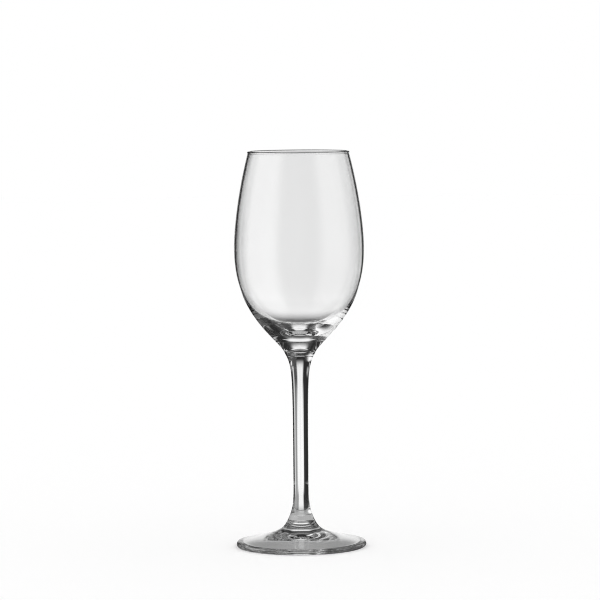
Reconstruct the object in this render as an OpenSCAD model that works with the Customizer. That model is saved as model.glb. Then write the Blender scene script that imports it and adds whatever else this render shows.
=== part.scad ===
// Stemmed sherry glass, standing on its foot. Lengths are in millimetres.
// The origin is the middle of the face that it stands on, and +Z is up, along its axis.
// Three pieces of clear glass are fused end to end: the foot, the stem and the bowl.
// Each piece is one outline of radius and height, turned round the axis.

/* [Foot] */
// Outer diameter of the foot
foot_d = 62.5; // [54:0.5:72]
// Height of the foot, from the table to the face that carries the stem
foot_h = 13; // [9:0.5:18]
// Thickness of the foot at its rounded edge
foot_edge_t = 2.8; // [1.8:0.1:3.6]
// Angle at which the top of the foot climbs from its edge, in degrees
foot_rise = 13; // [8:1:16]
// Width of the flat ring that the foot rests on
rest_ring_w = 2.2; // [1:0.1:5]
// Depth of the hollow in the foot's underside
hollow_depth = 4.2; // [2.5:0.1:5.5]
// Angle at which the hollow climbs from that ring, in degrees
hollow_rise = 10; // [7:0.5:13]

/* [Stem] */
// Length of the stem between its two fused ends
stem_l = 81; // [55:1:105]
// Diameter of the stem where it is thinnest
stem_d = 7.4; // [5.5:0.1:9]
// Height of the thinnest place above the stem's lower end
waist_h = 29; // [20:1:38]
// Diameter where the stem and the foot are fused
collar_d = 12.9; // [11:0.1:16]
// Lean of the outline from the upright there, in degrees
collar_lean = 25; // [18:1:34]
// Diameter where the stem and the bowl are fused
neck_d = 15.4; // [12:0.1:18]
// Lean of the outline from the upright there, in degrees
neck_lean = 28; // [22:1:38]

/* [Bowl] */
// Height of the bowl, from the face on the stem to the top of the lip
bowl_h = 96; // [84:1:116]
// Outer diameter of the bowl where it is widest
belly_d = 62.5; // [56:0.5:70]
// Height of the widest place above the stem
belly_h = 48.5; // [44:0.5:56]
// Outer diameter just below the lip
throat_d = 48.8; // [44:0.1:54]
// How far the top of the lip stands in from there on each side, or out where it is negative
lip_in = -0.1; // [-0.6:0.1:1]
// Height of the rounded lip
lip_h = 1.3; // [1:0.1:2.4]
// Thickness of the lip, rounded by the flame
lip_t = 1.3; // [1:0.05:1.6]
// Wall just below the lip
throat_wall = 1.1; // [0.8:0.05:1.4]
// Wall where the bowl is widest
belly_wall = 1.05; // [0.8:0.05:1.6]
// Solid glass below the lowest point inside the bowl
base_t = 9.2; // [8:0.1:13]

/* [Hidden] */

// Straight steps in each curve of an outline, and in the round of an edge
curve_steps = 24;
edge_steps = 12;

// Sides of a full turn where the shape is shown as a mesh
turn_sides = 128;

// Radii at the places that the outlines pass through
foot_r = foot_d / 2;
collar_r = collar_d / 2;
stem_r = stem_d / 2;
neck_r = neck_d / 2;
belly_r = belly_d / 2;
throat_r = throat_d / 2;
lip_r = throat_r - lip_in;

// Heights of the two fused faces above the table
stem_z = foot_h;
bowl_z = foot_h + stem_l;

// Each curve leaves one point along a straight line and reaches the next one along another.
// A share below says how long such a line is, and the longer it is, the further the curve follows it.

// Top of the foot: shares of its width from the edge, and of its height below the collar
foot_edge_share = 0.68;
foot_collar_share = 0.62;

// Hollow under the foot: shares of its radius, out from the middle of its roof and in from the ring
hollow_middle_share = 0.39;
hollow_ring_share = 0.1;

// Stem below the waist: shares of the waist's height, up from the collar and down from the waist
stem_collar_share = 0.24;
stem_waist_low_share = 0.68;

// Stem above the waist: shares of the height that is left, up from the waist and down from the neck
stem_waist_high_share = 0.87;
stem_neck_share = 0.135;

// Bowl below the belly: shares of the belly's height, up from the neck and down from the belly
bowl_neck_share = 0.13;
bowl_belly_low_share = 0.63;

// Bowl above the belly: shares of the height up to the throat, up from the belly and down from the throat
bowl_belly_high_share = 0.35;
bowl_throat_share = 0.2;

// Part of the step in from the belly to the throat that the outline still has to go over that last line
throat_lean_share = 0.37;

// Inside below the belly: share of the radius at the bottom, and of the depth at the belly
inside_bottom_share = 0.61;
inside_belly_low_share = 0.63;

// Lip: share of its straight height that the outline stands upright in, below the round
lip_bend_share = 0.4;

// Point at share t of the curve that leaves a towards b and reaches d from c
function curve_point(a, b, c, d, t) =
    pow(1 - t, 3) * a + 3 * pow(1 - t, 2) * t * b + 3 * (1 - t) * pow(t, 2) * c + pow(t, 3) * d;

// Points along that curve, with its start and without its end, where the next one starts
function curve(a, b, c, d) =
    [for (i = [0 : curve_steps - 1]) curve_point(a, b, c, d, i / curve_steps)];

// Points of a round edge about its middle, from one angle to another, without the last
function edge(middle, r, from, to) =
    [for (i = [0 : edge_steps - 1]) middle + r * direction(from + (to - from) * i / edge_steps)];

// Unit step at an angle from the outward radius
function direction(angle) = [cos(angle), sin(angle)];

// Turns an outline of [radius, height] points round the axis
module turned(outline) {
    rotate_extrude($fn = turn_sides)
        polygon(outline);
}

// Foot: a pressed disc with a round edge, which rises to the collar that carries the stem
function foot_outline() =
    let (
        edge_r = foot_edge_t / 2,
        edge_middle = [foot_r - edge_r, edge_r],
        ring_in_r = foot_r - edge_r - rest_ring_w,
        top_start = edge_middle + edge_r * direction(90 - foot_rise),
        top_w = top_start.x - collar_r,
        top_h = foot_h - top_start.y
    )
    concat(
        curve(
            [0, hollow_depth],
            [ring_in_r * hollow_middle_share, hollow_depth],
            [ring_in_r, 0] + ring_in_r * hollow_ring_share * [-1, tan(hollow_rise)],
            [ring_in_r, 0]
        ),
        [[ring_in_r, 0]],
        edge(edge_middle, edge_r, -90, 90 - foot_rise),
        curve(
            top_start,
            top_start + top_w * foot_edge_share * [-1, tan(foot_rise)],
            [collar_r, foot_h] + top_h * foot_collar_share * [tan(collar_lean), -1],
            [collar_r, foot_h]
        ),
        [[collar_r, foot_h], [0, foot_h]]
    );

// Stem: a solid rod, flared to the collar below and to the neck above
function stem_outline() =
    let (upper_h = stem_l - waist_h)
    concat(
        [[0, 0]],
        curve(
            [collar_r, 0],
            [collar_r, 0] + waist_h * stem_collar_share * [-tan(collar_lean), 1],
            [stem_r, waist_h * (1 - stem_waist_low_share)],
            [stem_r, waist_h]
        ),
        curve(
            [stem_r, waist_h],
            [stem_r, waist_h + upper_h * stem_waist_high_share],
            [neck_r, stem_l] + upper_h * stem_neck_share * [-tan(neck_lean), -1],
            [neck_r, stem_l]
        ),
        [[neck_r, stem_l], [0, stem_l]]
    );

// Bowl: a thin wall with a round lip above a thick solid base
function bowl_outline() =
    let (
        throat_z = bowl_h - lip_h,
        upper_h = throat_z - belly_h,
        lean = [(belly_r - throat_r) * throat_lean_share, -upper_h * bowl_throat_share],
        lip_middle = [lip_r - lip_t / 2, bowl_h - lip_t / 2],
        bend = [0, (lip_h - lip_t / 2) * lip_bend_share],
        lip_lean = lean * bend.y / lean.y,
        inner_belly_r = belly_r - belly_wall,
        inner_throat_r = throat_r - throat_wall
    )
    concat(
        [[0, 0]],
        curve(
            [neck_r, 0],
            [neck_r, 0] + belly_h * bowl_neck_share * [tan(neck_lean), 1],
            [belly_r, belly_h * (1 - bowl_belly_low_share)],
            [belly_r, belly_h]
        ),
        curve(
            [belly_r, belly_h],
            [belly_r, belly_h + upper_h * bowl_belly_high_share],
            [throat_r, throat_z] + lean,
            [throat_r, throat_z]
        ),
        curve(
            [throat_r, throat_z],
            [throat_r, throat_z] + lip_lean,
            lip_middle + [lip_t / 2, 0] - bend,
            lip_middle + [lip_t / 2, 0]
        ),
        edge(lip_middle, lip_t / 2, 0, 180),
        curve(
            lip_middle - [lip_t / 2, 0],
            lip_middle - [lip_t / 2, 0] - bend,
            [inner_throat_r, throat_z] + lip_lean,
            [inner_throat_r, throat_z]
        ),
        curve(
            [inner_throat_r, throat_z],
            [inner_throat_r, throat_z] + lean,
            [inner_belly_r, belly_h + upper_h * bowl_belly_high_share],
            [inner_belly_r, belly_h]
        ),
        curve(
            [inner_belly_r, belly_h],
            [inner_belly_r, belly_h - (belly_h - base_t) * inside_belly_low_share],
            [inner_belly_r * inside_bottom_share, base_t],
            [0, base_t]
        ),
        [[0, base_t]]
    );

module foot() {
    color("lightgray")
        turned(foot_outline());
}

module stem() {
    color("gainsboro")
        translate([0, 0, stem_z])
            turned(stem_outline());
}

module bowl() {
    color("whitesmoke")
        translate([0, 0, bowl_z])
            turned(bowl_outline());
}

foot();
stem();
bowl();
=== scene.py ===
"""Dresses the sherry glass: three fused pieces of clear glass, its table, a bright studio and the camera.

Lengths are in metres and angles in degrees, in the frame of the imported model: the glass stands on z = 0, its
axis is the z axis, and the camera looks along +y.
"""

from __future__ import annotations

import logging
import math
from dataclasses import dataclass, field
from enum import Enum
from typing import Any

import bpy
import numpy as np
from mathutils import Matrix, Vector
from numpy.typing import ArrayLike


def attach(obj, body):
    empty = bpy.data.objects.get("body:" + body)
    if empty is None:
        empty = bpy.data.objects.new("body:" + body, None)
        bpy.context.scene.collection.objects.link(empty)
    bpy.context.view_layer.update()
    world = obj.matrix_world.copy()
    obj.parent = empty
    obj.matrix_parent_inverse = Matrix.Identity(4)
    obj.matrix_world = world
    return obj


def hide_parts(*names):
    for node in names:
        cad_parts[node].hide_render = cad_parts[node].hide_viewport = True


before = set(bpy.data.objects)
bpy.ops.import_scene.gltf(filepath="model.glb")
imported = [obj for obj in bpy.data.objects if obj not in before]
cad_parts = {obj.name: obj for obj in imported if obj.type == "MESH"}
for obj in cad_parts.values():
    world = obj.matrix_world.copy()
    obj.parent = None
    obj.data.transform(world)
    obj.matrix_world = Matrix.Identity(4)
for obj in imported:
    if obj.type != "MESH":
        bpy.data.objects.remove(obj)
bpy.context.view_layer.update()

log = logging.getLogger("sherry_glass")

BODY = "root"
TURN_SIDES = 288
SAME_PLACE = 1e-9
QUARTER_TURN = 90
HALF_TURN = 180
FULL_TURN = 360
WHITE = (1, 1, 1, 1)

# A count of faces or sheets is compared with the middle between two whole numbers
HALF = 0.5


class Skin(Enum):
    """The two kinds of face that a piece of the glass has."""

    OPEN = 0
    FUSED = 1


# Shader maths


class Value:
    """A number in a node tree. Python's operators add the Math nodes that work it out."""

    def __init__(self, desk: NodeDesk, socket: bpy.types.NodeSocket) -> None:
        """Wraps an output socket.

        Args:
            desk: the node tree's helper, which adds the Math nodes.
            socket: the output that carries the number.
        """
        self.desk = desk
        self.socket = socket

    def math(self, operation: str, *others: Value | float) -> Value:
        """Adds a Math node with this value as its first input.

        Args:
            operation: the Math node's operation.
            *others: its second and third inputs.

        Returns:
            The node's result.
        """
        return self.desk.math(operation, self, *others)

    def __add__(self, other: Value | float) -> Value:
        """Sum."""
        return self.math("ADD", other)

    def __radd__(self, other: float) -> Value:
        """Sum with a plain number first."""
        return self.desk.math("ADD", other, self)

    def __sub__(self, other: Value | float) -> Value:
        """Difference."""
        return self.math("SUBTRACT", other)

    def __rsub__(self, other: float) -> Value:
        """Difference with a plain number first."""
        return self.desk.math("SUBTRACT", other, self)

    def __mul__(self, other: Value | float) -> Value:
        """Product."""
        return self.math("MULTIPLY", other)

    def __rmul__(self, other: float) -> Value:
        """Product with a plain number first."""
        return self.desk.math("MULTIPLY", other, self)

    def __truediv__(self, other: Value | float) -> Value:
        """Quotient."""
        return self.math("DIVIDE", other)

    def __abs__(self) -> Value:
        """Size without its sign."""
        return self.math("ABSOLUTE")


class NodeDesk:
    """Adds nodes to one node tree and joins them up."""

    def __init__(self, tree: bpy.types.NodeTree) -> None:
        """Empties the tree.

        Args:
            tree: the node tree of a material or of the world.
        """
        self.tree = tree
        tree.nodes.clear()

    def node(
        self,
        kind: str,
        settings: dict[str, Any] | None = None,
        sockets: dict[str | int, Any] | None = None,
    ) -> bpy.types.Node:
        """Adds a node.

        Args:
            kind: the node's type name.
            settings: its own settings, which are set first.
            sockets: the value of each input, or the Value or output that is linked to it, by name or number.

        Returns:
            The new node.
        """
        made = self.tree.nodes.new(kind)
        for name, setting in (settings or {}).items():
            setattr(made, name, setting)
        for name, given in (sockets or {}).items():
            if isinstance(given, Value):
                self.tree.links.new(given.socket, made.inputs[name])
            elif isinstance(given, bpy.types.NodeSocket):
                self.tree.links.new(given, made.inputs[name])
            else:
                made.inputs[name].default_value = given
        return made

    def math(self, operation: str, *terms: Value | float) -> Value:
        """Adds a Math node.

        Args:
            operation: its operation.
            *terms: its inputs, in order.

        Returns:
            Its result.
        """
        made = self.node("ShaderNodeMath", {"operation": operation}, dict(enumerate(terms)))
        return Value(self, made.outputs[0])

    def value(self, node: bpy.types.Node, output: str) -> Value:
        """Wraps one output of a node."""
        return Value(self, node.outputs[output])

    def ramp_down(self, distance: Value, middle: float, soft: float) -> Value:
        """A mask that falls smoothly from 1 to 0 where a number passes the middle, so softly to each side."""
        fall = self.node(
            "ShaderNodeMapRange",
            {"interpolation_type": "SMOOTHSTEP"},
            {
                "Value": distance,
                "From Min": middle - soft,
                "From Max": middle + soft,
                "To Min": 1.0,
                "To Max": 0.0,
            },
        )
        return self.value(fall, "Result")


# Outlines and turned surfaces


def curve(start: ArrayLike, leave: ArrayLike, reach: ArrayLike, end: ArrayLike, steps: int) -> np.ndarray:
    """Points of a smooth curve, without its last.

    The point at share t is the sum of the four corners, weighted by (1 - t)^3, 3 (1 - t)^2 t, 3 (1 - t) t^2
    and t^3.

    Args:
        start: where the curve starts.
        leave: the point that it leaves the start towards.
        reach: the point that it reaches the end from.
        end: where the curve ends.
        steps: how many points.

    Returns:
        One row of radius and height for each point.
    """
    t = np.linspace(0, 1, steps, endpoint=False)[:, None]
    corners = (start, leave, reach, end)
    weights = ((1 - t) ** 3, 3 * (1 - t) ** 2 * t, 3 * (1 - t) * t**2, t**3)
    return sum(weight * np.asarray(corner) for weight, corner in zip(weights, corners))


def edge(middle: ArrayLike, radius: float, start: float, end: float, steps: int) -> np.ndarray:
    """Points of a round edge, without its last.

    Each is the middle plus the radius times the cosine and the sine of its angle.

    Args:
        middle: the middle of the round.
        radius: its radius.
        start: the angle that it starts at.
        end: the angle that it ends at.
        steps: how many points.

    Returns:
        One row of radius and height for each point.
    """
    angles = np.radians(np.linspace(start, end, steps, endpoint=False))[:, None]
    return np.asarray(middle) + radius * np.hstack([np.cos(angles), np.sin(angles)])


def direction(angle: float) -> np.ndarray:
    """Unit step at an angle from the outward radius."""
    return np.array([math.cos(math.radians(angle)), math.sin(math.radians(angle))])


def lean(angle: float) -> float:
    """Tangent of an angle: the step aside for each step along, of a line that leans so far."""
    return math.tan(math.radians(angle))


@dataclass(frozen=True)
class Outline:
    """Half section of a piece, from the axis round to the axis, with the glass on its left.

    The height and the radius of each of its fused faces go with it.
    """

    points: np.ndarray
    fused_faces: tuple[tuple[float, float], ...]

    def skins(self) -> np.ndarray:
        """Kind of face that each step of the outline makes: a flat step on a fused face is fused."""
        heights = self.points[:, 1]
        kinds = np.full(len(heights) - 1, Skin.OPEN.value)
        for height, radius in self.fused_faces:
            level = np.isclose(heights, height, atol=SAME_PLACE) & (self.points[:, 0] <= radius + SAME_PLACE)
            kinds[level[:-1] & level[1:]] = Skin.FUSED.value
        return kinds


def turned_mesh(name: str, outline: Outline, sides: int = TURN_SIDES) -> bpy.types.Object:
    """Turns an outline round the z axis into a closed mesh.

    The vertex of outline point (r, z) at angle a lies at (r cos a, r sin a, z). The first and last points lie
    on the axis and make one vertex each, with a fan of triangles. All other faces have four sides.

    Args:
        name: the piece's name.
        outline: its half section.
        sides: steps in a full turn.

    Returns:
        The new object, at the origin.
    """
    radii, heights = outline.points[1:-1].T
    turn = np.linspace(0, 2 * math.pi, sides, endpoint=False)
    rings = np.stack(
        [
            np.outer(radii, np.cos(turn)),
            np.outer(radii, np.sin(turn)),
            np.repeat(heights[:, None], sides, axis=1),
        ],
        axis=2,
    )
    poles = np.array([[0, 0, outline.points[0, 1]], [0, 0, outline.points[-1, 1]]])
    vertices = np.concatenate([rings.reshape(-1, 3), poles])
    index = np.arange(len(radii) * sides).reshape(len(radii), sides)
    after = np.roll(index, -1, axis=1)
    first, last = len(index.ravel()), len(index.ravel()) + 1
    quads = np.stack([index[:-1], after[:-1], after[1:], index[1:]], axis=2).reshape(-1, 4)
    start_fan = np.stack([np.full(sides, first), after[0], index[0]], axis=1)
    end_fan = np.stack([index[-1], after[-1], np.full(sides, last)], axis=1)
    skins = outline.skins()
    face_skins = np.concatenate([np.repeat(skins[1:-1], sides), np.repeat(skins[[0, -1]], sides)])
    mesh = bpy.data.meshes.new(name)
    mesh.from_pydata(vertices.tolist(), [], quads.tolist() + start_fan.tolist() + end_fan.tolist())
    mesh.polygons.foreach_set("material_index", face_skins.astype(np.int32))
    mesh.polygons.foreach_set("use_smooth", face_skins == Skin.OPEN.value)
    mesh.update()
    mesh.validate()
    piece = bpy.data.objects.new(name, mesh)
    bpy.context.scene.collection.objects.link(piece)
    return piece


# Finishes


@dataclass(frozen=True)
class LipPaintedShade:
    """Painted shade at the very top of the lip: the glass there is tinted dark to stand in for the thin dark
    line that its round bead shows by bending light.

    It starts so far below the top of the glass, and is full a fade higher.
    """

    top: float
    reach: float = 0.0007
    fade: float = 0.0004
    # colour of the painted shade at the top of the lip
    tint: tuple[float, float, float] = (0.12, 0.12, 0.122)

    def over(
        self, desk: NodeDesk, place: bpy.types.NodeSocket, tint: bpy.types.NodeSocket
    ) -> bpy.types.NodeSocket:
        """Lays the shade over a tint.

        Args:
            desk: the node tree's helper.
            place: the coordinates of the piece.
            tint: the colour of the glass below.

        Returns:
            The colour of the glass with the shade.
        """
        height = desk.value(desk.node("ShaderNodeSeparateXYZ", {}, {"Vector": place}), "Z")
        start = self.top - self.reach
        share = desk.node(
            "ShaderNodeMapRange",
            {"interpolation_type": "SMOOTHSTEP"},
            {"Value": height, "From Min": start, "From Max": start + self.fade},
        )
        mix = desk.node(
            "ShaderNodeMix",
            {"data_type": "RGBA"},
            {"Factor": share.outputs["Result"], "A": tint, "B": (*self.tint, 1)},
        )
        return mix.outputs["Result"]


@dataclass(frozen=True)
class ClearGlass:
    """Clear polished glass, with waves a few micrometres deep that bend what shows through it a little."""

    name: str
    tint: tuple[float, float, float]
    thick_tint: tuple[float, float, float]
    wave_size: float
    wave_stretch: tuple[float, float, float]
    wave_depth: float
    wave_detail: float = 1.0
    wave_roughness: float = 0.4
    smear_scale: float = 3
    smear_detail: float = 4.0
    smear_breakup: float = 0.6
    smear_roughness: float = 0.012
    ior: float = 1.52
    # painted shade at the top of the lip, if any
    lip: LipPaintedShade | None = None

    def material(self) -> bpy.types.Material:
        """Makes the material.

        Returns:
            A see-through surface whose tint, smears and waves come from noise in the piece's own coordinates.
        """
        material = bpy.data.materials.new(self.name)
        material.use_nodes = True
        desk = NodeDesk(material.node_tree)
        place = desk.node("ShaderNodeTexCoord").outputs["Object"]
        along = desk.node("ShaderNodeMapping", {}, {"Vector": place, "Scale": self.wave_stretch})
        waves = desk.node(
            "ShaderNodeTexNoise",
            {},
            {
                "Vector": along.outputs["Vector"],
                "Scale": 1 / self.wave_size,
                "Detail": self.wave_detail,
                "Roughness": self.wave_roughness,
            },
        )
        smears = desk.node(
            "ShaderNodeTexNoise",
            {},
            {
                "Vector": place,
                "Scale": 1 / (self.wave_size * self.smear_scale),
                "Detail": self.smear_detail,
                "Roughness": self.smear_breakup,
            },
        )
        smear = desk.value(smears, "Fac")
        tint = desk.node(
            "ShaderNodeMix",
            {"data_type": "RGBA"},
            {"Factor": smear, "A": (*self.tint, 1), "B": (*self.thick_tint, 1)},
        ).outputs["Result"]
        # painted shade: the top of the lip is tinted dark, for the dark line that its bead shows
        if self.lip:
            tint = self.lip.over(desk, place, tint)
        bump = desk.node(
            "ShaderNodeBump",
            {},
            {"Height": desk.value(waves, "Fac"), "Distance": self.wave_depth},
        )
        surface = desk.node(
            "ShaderNodeBsdfPrincipled",
            {},
            {
                "Base Color": tint,
                "Roughness": smear * self.smear_roughness,
                "IOR": self.ior,
                "Transmission Weight": 1.0,
                "Normal": bump.outputs["Normal"],
            },
        )
        desk.node("ShaderNodeOutputMaterial", {}, {"Surface": surface.outputs[0]})
        return material


@dataclass(frozen=True)
class FusedFace:
    """The face inside the glass where two pieces have melted together, which light passes unbent."""

    name: str = "fused_face"

    def material(self) -> bpy.types.Material:
        """Makes the see-through material."""
        material = bpy.data.materials.new(self.name)
        material.use_nodes = True
        desk = NodeDesk(material.node_tree)
        clear = desk.node("ShaderNodeBsdfTransparent")
        desk.node("ShaderNodeOutputMaterial", {}, {"Surface": clear.outputs[0]})
        return material


# The three pieces


@dataclass
class Foot:
    """Pressed foot: a disc with a round edge and a hollow underside, rising to the collar below the stem."""

    diameter: float = 0.0625
    height: float = 0.013
    edge_t: float = 0.0028
    rise: float = 13
    ring_w: float = 0.0022
    hollow_depth: float = 0.0042
    hollow_rise: float = 10
    collar_d: float = 0.0129
    collar_lean: float = 25
    edge_share: float = 0.68
    collar_share: float = 0.62
    hollow_middle_share: float = 0.39
    hollow_ring_share: float = 0.1
    steps: int = 56
    edge_steps: int = 14

    def outline(self) -> Outline:
        """Half section from the middle of the underside, round the edge, up to the face below the stem."""
        edge_r = self.edge_t / 2
        edge_middle = np.array([self.diameter / 2 - edge_r, edge_r])
        ring_in_r = edge_middle[0] - self.ring_w
        ring = np.array([ring_in_r, 0])
        top_start = edge_middle + edge_r * direction(QUARTER_TURN - self.rise)
        collar = np.array([self.collar_d / 2, self.height])
        top_w, top_h = abs(collar - top_start)
        hollow = curve(
            [0, self.hollow_depth],
            [ring_in_r * self.hollow_middle_share, self.hollow_depth],
            ring + ring_in_r * self.hollow_ring_share * np.array([-1, lean(self.hollow_rise)]),
            ring,
            self.steps,
        )
        round_edge = edge(edge_middle, edge_r, -QUARTER_TURN, QUARTER_TURN - self.rise, self.edge_steps)
        top = curve(
            top_start,
            top_start + top_w * self.edge_share * np.array([-1, lean(self.rise)]),
            collar + top_h * self.collar_share * np.array([lean(self.collar_lean), -1]),
            collar,
            self.steps,
        )
        points = np.concatenate([hollow, [ring], round_edge, top, [collar], [[0, self.height]]])
        return Outline(points, ((self.height, collar[0]),))


@dataclass
class Stem:
    """Drawn stem: a solid rod with its waist below the middle, flared at both fused ends."""

    foot: Foot
    length: float = 0.081
    waist_d: float = 0.0074
    waist_h: float = 0.029
    neck_d: float = 0.0154
    neck_lean: float = 28
    collar_share: float = 0.24
    waist_low_share: float = 0.68
    waist_high_share: float = 0.87
    neck_share: float = 0.135
    steps: int = 72

    def top_z(self) -> float:
        """Height of the fused face below the bowl."""
        return self.foot.height + self.length

    def outline(self) -> Outline:
        """Half section from the fused face on the foot, up the rod, to the fused face below the bowl."""
        floor_z = self.foot.height
        collar = np.array([self.foot.collar_d / 2, floor_z])
        waist = np.array([self.waist_d / 2, floor_z + self.waist_h])
        neck = np.array([self.neck_d / 2, self.top_z()])
        upper_h = self.length - self.waist_h
        lower = curve(
            collar,
            collar + self.waist_h * self.collar_share * np.array([-lean(self.foot.collar_lean), 1]),
            waist - [0, self.waist_h * self.waist_low_share],
            waist,
            self.steps,
        )
        upper = curve(
            waist,
            waist + [0, upper_h * self.waist_high_share],
            neck + upper_h * self.neck_share * np.array([-lean(self.neck_lean), -1]),
            neck,
            self.steps,
        )
        points = np.concatenate([[[0, floor_z]], lower, upper, [neck], [[0, self.top_z()]]])
        return Outline(points, ((floor_z, collar[0]), (self.top_z(), neck[0])))


@dataclass
class Bowl:
    """Blown bowl: a thin tulip wall with a flame-rounded lip above a thick solid base."""

    stem: Stem
    height: float = 0.096
    belly_d: float = 0.0625
    belly_h: float = 0.0485
    throat_d: float = 0.0488
    lip_in: float = -0.0001
    lip_h: float = 0.0013
    lip_t: float = 0.0013
    throat_wall: float = 0.0011
    belly_wall: float = 0.00105
    base_t: float = 0.0092
    neck_share: float = 0.13
    belly_low_share: float = 0.63
    belly_high_share: float = 0.35
    throat_share: float = 0.2
    throat_lean_share: float = 0.37
    inside_bottom_share: float = 0.61
    inside_belly_low_share: float = 0.63
    lip_bend_share: float = 0.4
    steps: int = 64
    lip_steps: int = 12

    def top_z(self) -> float:
        """Height of the top of the lip."""
        return self.stem.top_z() + self.height

    def outline(self) -> Outline:
        """Half section from the fused face on the stem, up the outside, over the lip and down the inside."""
        neck = np.array([self.stem.neck_d / 2, 0])
        belly_r, throat_r = self.belly_d / 2, self.throat_d / 2
        throat_z = self.height - self.lip_h
        upper_h = throat_z - self.belly_h
        slope = np.array([(belly_r - throat_r) * self.throat_lean_share, -upper_h * self.throat_share])
        lip_middle = np.array([throat_r - self.lip_in - self.lip_t / 2, self.height - self.lip_t / 2])
        lip_r = np.array([self.lip_t / 2, 0])
        bend = np.array([0, (self.lip_h - self.lip_t / 2) * self.lip_bend_share])
        lip_slope = slope * bend[1] / slope[1]
        belly, throat = np.array([belly_r, self.belly_h]), np.array([throat_r, throat_z])
        belly_in, throat_in = belly - [self.belly_wall, 0], throat - [self.throat_wall, 0]
        belly_up = np.array([0, upper_h * self.belly_high_share])
        depth = self.belly_h - self.base_t
        sections = [
            [[0, 0]],
            curve(
                neck,
                neck + self.belly_h * self.neck_share * np.array([lean(self.stem.neck_lean), 1]),
                belly - [0, self.belly_h * self.belly_low_share],
                belly,
                self.steps,
            ),
            curve(belly, belly + belly_up, throat + slope, throat, self.steps),
            curve(throat, throat + lip_slope, lip_middle + lip_r - bend, lip_middle + lip_r, self.lip_steps),
            edge(lip_middle, self.lip_t / 2, 0, HALF_TURN, self.lip_steps),
            curve(
                lip_middle - lip_r,
                lip_middle - lip_r - bend,
                throat_in + lip_slope,
                throat_in,
                self.lip_steps,
            ),
            curve(throat_in, throat_in + slope, belly_in + belly_up, belly_in, self.steps),
            curve(
                belly_in,
                belly_in - [0, depth * self.inside_belly_low_share],
                [belly_in[0] * self.inside_bottom_share, self.base_t],
                [0, self.base_t],
                self.steps,
            ),
            [[0, self.base_t]],
        ]
        points = np.concatenate(sections) + [0, self.stem.top_z()]
        return Outline(points, ((self.stem.top_z(), neck[0]),))


@dataclass
class SherryGlass:
    """The whole glass: foot, stem and bowl, each dressed in its own glass and standing for its own solid."""

    foot: Foot = field(default_factory=Foot)

    def build(self) -> list[bpy.types.Object]:
        """Builds the three pieces from the foot up.

        Returns:
            The new objects.
        """
        stem = Stem(self.foot)
        bowl = Bowl(stem)
        fused = FusedFace().material()
        pressed = ClearGlass(
            "foot_glass",
            tint=(0.985, 0.987, 0.987),
            thick_tint=(0.975, 0.98, 0.979),
            wave_size=0.009,
            wave_stretch=(1, 1, 1),
            wave_depth=0.000004,
        )
        drawn = ClearGlass(
            "stem_glass",
            tint=(0.988, 0.989, 0.989),
            thick_tint=(0.98, 0.983, 0.983),
            wave_size=0.003,
            wave_stretch=(1, 1, 0.08),
            wave_depth=0.000002,
        )
        blown = ClearGlass(
            "bowl_glass",
            tint=(0.99, 0.99, 0.99),
            thick_tint=(0.985, 0.987, 0.987),
            wave_size=0.014,
            wave_stretch=(1, 1, 0.5),
            wave_depth=0.000004,
            # painted shade along the top of the lip
            lip=LipPaintedShade(bowl.top_z()),
        )
        plan = (
            ("foot", self.foot.outline(), pressed),
            ("stem", stem.outline(), drawn),
            ("bowl", bowl.outline(), blown),
        )
        return [self.piece(node, outline, glass, fused) for node, outline, glass in plan]

    @staticmethod
    def piece(node: str, outline: Outline, glass: ClearGlass, fused: bpy.types.Material) -> bpy.types.Object:
        """Builds one piece and puts it in the place of its solid.

        Args:
            node: the solid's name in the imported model.
            outline: the piece's half section.
            glass: its finish.
            fused: the material of its fused faces.

        Returns:
            The new object.
        """
        made = turned_mesh(f"{node}_skin", outline)
        made.data.materials.append(glass.material())
        made.data.materials.append(fused)
        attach(made, BODY)
        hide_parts(node)
        return made


# The studio


@dataclass(frozen=True)
class Panel:
    """A soft-edged patch of the studio, at a bearing from the glass: 0 is straight behind it, + to the right.

    One that isn't mirrored shows through the glass only, and not in its reflections.
    """

    name: str
    bearing: float
    half_width: float
    low: float
    high: float
    light: float
    side_soft: float = 4
    low_soft: float = 4
    high_soft: float = 4
    mirrored: bool = True

    def over(
        self, desk: NodeDesk, light: Value | float, bearing: Value, elevation: Value, unbent: Value
    ) -> Value:
        """Lays the panel over what is there already.

        Args:
            desk: the node tree's helper.
            light: the light without this panel.
            bearing: where the ray goes, in degrees round the glass.
            elevation: how steeply it climbs, in degrees.
            unbent: 1 for a ray that was never reflected, and else 0.

        Returns:
            The light with this panel.
        """
        turn = abs((bearing - self.bearing + HALF_TURN).math("FLOORED_MODULO", FULL_TURN) - HALF_TURN)
        beside = desk.ramp_down(turn, self.half_width, self.side_soft)
        below = desk.ramp_down(elevation, self.high, self.high_soft)
        above = 1 - desk.ramp_down(elevation, self.low, self.low_soft)
        shown = beside * below * above
        if not self.mirrored:
            shown = shown * unbent
        lit = shown * (self.light - light) + light
        lit.socket.node.label = self.name
        return lit


class Way(Enum):
    """How a ray has come through the glass, as (kept, period) in degrees.

    Up to so many degrees from straight behind the glass it meets the studio as it stands. Beyond that the
    middle of the studio repeats, once in each period, so that the glass is as clear from all sides. THIN has
    passed two walls of the bowl. DOWN has passed less, on its way down to the table beyond the mat. THICK is
    any other.
    """

    THIN = (30, 15)
    DOWN = (16, 20)
    THICK = (75, 45)


@dataclass(frozen=True)
class FootShadowPatch:
    """A round patch of painted shadow on the mat under the foot, which only the glass sees: its radius, how
    soft its edge is, and its light.
    """

    reach: float
    soft: float
    light: float


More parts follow.
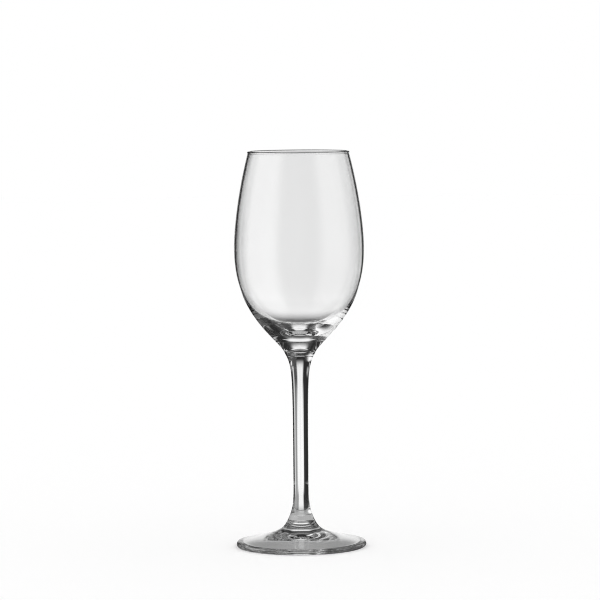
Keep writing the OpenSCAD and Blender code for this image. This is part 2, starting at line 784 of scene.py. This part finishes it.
@dataclass(frozen=True)
class Studio:
    """A bright field for clear glass: a white strip behind it, a soft box at the left and cards at the right.

    The glass meets them by direction, also through the table top, which is plain white to the eye.
    """

    # Light between the panels, and the faces that light passes in two walls of the bowl
    room_light: float = 0.025
    wall_faces: int = 4

    # Elevation below which a ray is on its way down, and the lowest at which it meets a repeat of the studio
    down: float = -12
    lowest: float = -15

    # The table, the mat on it, and the part of the mat that the foot covers, where the glass sees painted
    # shadow
    table_half: float = 4.0
    table_z: float = -0.00005
    mat_r: float = 0.45
    mat_z: float = -0.00002
    mat_sides: int = 96
    sheets: int = 2
    foot_reach: float = 0.033
    foot_shadow_patches: tuple[FootShadowPatch, ...] = (
        FootShadowPatch(0.033, 0.001, 0.1),
        FootShadowPatch(0.028, 0.0015, 0.46),
    )

    # Radius at which rays leave the wall of the bowl, and the height above which the mat is white to them,
    # which grows by the slope with the distance that they land at
    wall_r: float = 0.0275
    clear_height: float = 0.112
    clear_slope: float = 0.115

    # The same height for steep rays, then the steps out for each step down that make a ray steep or sheer,
    # and the cosine of the bearing at which it lands behind the glass
    steep_height: float = 0.108
    steep_middle: float = 1.7
    steep_soft: float = 0.3
    sheer_middle: float = 0.45
    sheer_soft: float = 0.1
    behind_middle: float = 0.946
    behind_soft: float = 0.032

    # Each with its bearing, half width, lowest and highest elevation and light, then how soft its edges are
    panels: tuple[Panel, ...] = (
        Panel("below", 0, 181, -91, -60, 0.55, 1, 1, 6),
        Panel("soft_box", -105.5, 34.5, -69, 52.5, 1.14, 14, 12, 10),
        Panel("overhead", 3, 38.5, 39, 56, 0.22, 8, 4, 4),
        Panel("left_glow", -60.5, 8.5, 6, 28, 0.61, 6, 5, 6),
        Panel("left_stripe", -41, 7, 1.5, 9, 0.41, 4, 2, 3),
        Panel("left_spot", -42, 8, 26, 38, 0.7, 4, 4, 4),
        Panel("right_card", 59.5, 10, 6.5, 24.5, 0.33, 7, 5, 5),
        Panel("right_spot", 46, 8, 15, 29, 0.9, 4, 4, 4),
        Panel("right_low", 30.5, 14.5, -43.5, -4.5, 0.32, 6, 5, 4, False),
        Panel("right_stripe", 36.5, 4.5, -9.5, 10, 0.69, 4, 3, 3),
        Panel("card", 118, 18.5, -11, 32, 0.18, 8, 6, 8),
        Panel("left_low", -63, 11.5, -41.5, -26.5, 0.42, 6, 4, 4),
        Panel("right_floor", 62, 18, -48.5, -30.5, 0.41, 6, 4, 4),
        Panel("table_glow", 0.5, 26.5, -51, -26.5, 0.15, 8, 4, 4),
        Panel("backdrop", 0.5, 12.5, -29, 15, 0.98, 4, 14, 14),
        Panel("sheet", 1, 17.5, -8.5, -4.5, 1.07, 3, 2, 3),
        Panel("middle", 1, 1.5, -9, 12.5, 0.9, 5, 4, 2),
    )

    def build(self) -> None:
        """Makes the world and the table."""
        self.world()
        self.table()

    @staticmethod
    def by_glass(desk: NodeDesk, path: bpy.types.Node) -> Value:
        """1 for a ray that comes from the glass on its way to the camera, and 0 for any other."""
        came = desk.value(path, "Is Transmission Ray").math("MAXIMUM", desk.value(path, "Is Reflection Ray"))
        return came * desk.value(path, "Diffuse Depth").math("LESS_THAN", HALF)

    @staticmethod
    def unbent(desk: NodeDesk, path: bpy.types.Node) -> Value:
        """1 for a ray that was never reflected, and 0 for any other."""
        return desk.value(path, "Glossy Depth").math("LESS_THAN", HALF)

    def met(
        self, desk: NodeDesk, path: bpy.types.Node, bearing: Value, elevation: Value, unbent: Value
    ) -> tuple[Value, Value]:
        """Turns the rays that have passed straight through the glass sideways to the middle of the studio.

        Args:
            desk: the node tree's helper.
            path: the Light Path node.
            bearing: where the ray goes, in degrees round the glass.
            elevation: how steeply it climbs, in degrees.
            unbent: 1 for a ray that was never reflected, and else 0.

        Returns:
            The bearing and the elevation at which it meets the studio.
        """
        thin = desk.value(path, "Transmission Depth").math("GREATER_THAN", self.wall_faces - HALF)
        past_mat = desk.value(path, "Transparent Depth").math("LESS_THAN", self.sheets - HALF)
        down = past_mat * elevation.math("LESS_THAN", self.down) * (1 - thin)
        shares = {Way.THIN: thin, Way.DOWN: down, Way.THICK: 1 - thin - down}
        met_bearing, met_elevation = bearing, elevation
        for way, share in shares.items():
            kept, period = way.value
            repeated = (bearing + period / 2).math("FLOORED_MODULO", period) - period / 2
            beyond = unbent * share * abs(bearing).math("GREATER_THAN", kept)
            met_bearing = beyond * (repeated - bearing) + met_bearing
            met_elevation = beyond * (elevation.math("MAXIMUM", self.lowest) - elevation) + met_elevation
        return met_bearing, met_elevation

    def world(self) -> None:
        """Makes the world: plain white to the camera and to the table, and the panels to the glass."""
        world = bpy.data.worlds.new("studio")
        bpy.context.scene.world = world
        world.use_nodes = True
        desk = NodeDesk(world.node_tree)
        toward = desk.node("ShaderNodeTexCoord").outputs["Generated"]
        parts = desk.node("ShaderNodeSeparateXYZ", {}, {"Vector": toward})
        across, away, up = (desk.value(parts, axis) for axis in "XYZ")
        bearing = across.math("ARCTAN2", away) * math.degrees(1)
        elevation = up.math("ARCSINE") * math.degrees(1)
        path = desk.node("ShaderNodeLightPath")
        unbent = self.unbent(desk, path)
        met_bearing, met_elevation = self.met(desk, path, bearing, elevation, unbent)
        light: Value | float = self.room_light
        for panel in self.panels:
            light = panel.over(desk, light, met_bearing, met_elevation, unbent)
        shown = 1 - self.by_glass(desk, path) * (1 - light)
        glow = desk.node("ShaderNodeBackground", {}, {"Color": shown})
        desk.node("ShaderNodeOutputWorld", {}, {"Surface": glow.outputs[0]})

    def table(self) -> None:
        """Makes the pale table top and the round mat on it, both matt white to the camera.

        Where the foot covers the mat, the glass sees a painted shadow of the foot: grey, with a darker ring at
        its edge. Through the walls of the bowl it sees white on the mat, so that they stay clear from above.
        Elsewhere it sees on through to the studio, which tells from the number of sheets that a ray has passed
        whether it landed on the mat.
        """
        half = self.table_half
        corners = np.array([[-half, -half, 0], [half, -half, 0], [half, half, 0], [-half, half, 0]])
        turns = np.linspace(0, 2 * np.pi, self.mat_sides, endpoint=False)
        circle = np.stack([np.cos(turns), np.sin(turns), np.zeros(self.mat_sides)], axis=1) * self.mat_r
        material = self.table_top()
        for name, outline, height in (("table", corners, self.table_z), ("mat", circle, self.mat_z)):
            mesh = bpy.data.meshes.new(name)
            mesh.from_pydata(outline.tolist(), [], [list(range(len(outline)))])
            mesh.materials.append(material)
            sheet = bpy.data.objects.new(name, mesh)
            sheet.location = (0, 0, height)
            bpy.context.scene.collection.objects.link(sheet)

    def table_top(self) -> bpy.types.Material:
        """Makes the material of the table and the mat.

        The height at which a ray left the glass is about the square root of its length squared less its
        distance out squared, counted from the wall of the bowl. A steep ray may have left lower on the bowl
        than others. Straight behind the glass that holds for a sheer ray only, so that the bottom of the bowl
        keeps the grey shade that the photograph shows.
        """
        material = bpy.data.materials.new("table_top")
        material.use_nodes = True
        desk = NodeDesk(material.node_tree)
        place = desk.node("ShaderNodeTexCoord").outputs["Object"]
        parts = desk.node("ShaderNodeSeparateXYZ", {}, {"Vector": place})
        across, away = desk.value(parts, "X"), desk.value(parts, "Y")
        distance = (across * across + away * away).math("SQRT")
        path = desk.node("ShaderNodeLightPath")
        length = desk.value(path, "Ray Length")
        out = distance - self.wall_r
        height = (length * length - out * out).math("MAXIMUM", 0.0).math("SQRT")
        beside = desk.ramp_down(away / distance, self.behind_middle, self.behind_soft)
        sheer = desk.ramp_down(out / height, self.sheer_middle, self.sheer_soft)
        steep = desk.ramp_down(out / height, self.steep_middle, self.steep_soft)
        steep_high = steep * beside.math("MAXIMUM", sheer) * height.math("GREATER_THAN", self.steep_height)
        high = (height - distance * self.clear_slope).math("GREATER_THAN", self.clear_height)
        clear = self.unbent(desk, path) * high.math("MAXIMUM", steep_high)
        clear = clear * distance.math("LESS_THAN", self.mat_r)
        under = distance.math("LESS_THAN", self.foot_reach)
        # painted shadow of the foot on the mat, shown to the glass only: grey under the foot, darker in a ring
        # at its edge
        light: Value | float = self.room_light
        for patch in self.foot_shadow_patches:
            light = desk.ramp_down(distance, patch.reach, patch.soft) * (patch.light - light) + light
        white = clear.math("MAXIMUM", 1 - under)
        light = white * (1 - light) + light
        # the mat glows with this light for the glass: white, or the painted shadow under the foot
        glow = desk.node("ShaderNodeEmission", {}, {"Color": light})
        onward = desk.node("ShaderNodeBsdfTransparent")
        lit = under.math("MAXIMUM", clear)
        met = desk.node("ShaderNodeMixShader", {}, {0: lit, 1: onward.outputs[0], 2: glow.outputs[0]})
        matt = desk.node("ShaderNodeBsdfDiffuse", {}, {"Color": WHITE})
        by_glass = self.by_glass(desk, path)
        mix = desk.node("ShaderNodeMixShader", {}, {0: by_glass, 1: matt.outputs[0], 2: met.outputs[0]})
        desk.node("ShaderNodeOutputMaterial", {}, {"Surface": mix.outputs[0]})
        return material


@dataclass(frozen=True)
class PhotoCamera:
    """A long lens a little above the glass, as in the photograph."""

    distance: float = 1.59186
    height: float = 0.23524
    sideways: float = 0.00024
    pitch: float = 4.1888
    roll: float = -0.48
    lens: float = 200.11
    sensor: float = 36.0
    sight: float = 100

    def build(self) -> None:
        """Makes the camera and gives it to the scene."""
        data = bpy.data.cameras.new("photo_camera")
        data.lens = self.lens
        data.sensor_width = self.sensor
        data.clip_end = self.sight
        camera = bpy.data.objects.new("photo_camera", data)
        place = Matrix.Translation(Vector((self.sideways, -self.distance, self.height)))
        aim = Matrix.Rotation(math.radians(QUARTER_TURN - self.pitch), 4, "X")
        twist = Matrix.Rotation(math.radians(self.roll), 4, "Z")
        camera.matrix_world = place @ aim @ twist
        bpy.context.scene.collection.objects.link(camera)
        bpy.context.scene.camera = camera


@dataclass(frozen=True)
class LightPaths:
    """How far light is followed, so that it passes enough faces of glass to come out again."""

    faces: int = 32
    mirrors: int = 24
    pixel_blur: float = 1.0

    def build(self) -> None:
        """Gives these limits to the scene."""
        cycles = bpy.context.scene.cycles
        cycles.max_bounces = self.faces
        cycles.transmission_bounces = self.faces
        cycles.transparent_max_bounces = self.faces
        cycles.glossy_bounces = self.mirrors
        cycles.filter_width = self.pixel_blur
        cycles.use_denoising = True


def main() -> None:
    """Builds the glass, the studio and the camera, and notes the sizes."""
    logging.basicConfig(level=logging.INFO, format="%(name)s: %(message)s")
    for piece in SherryGlass().build():
        log.info("%s: %d vertices, %d faces", piece.name, len(piece.data.vertices), len(piece.data.polygons))
    Studio().build()
    PhotoCamera().build()
    LightPaths().build()
    bpy.context.scene.view_settings.view_transform = "Standard"


if __name__ == "__main__":
    main()
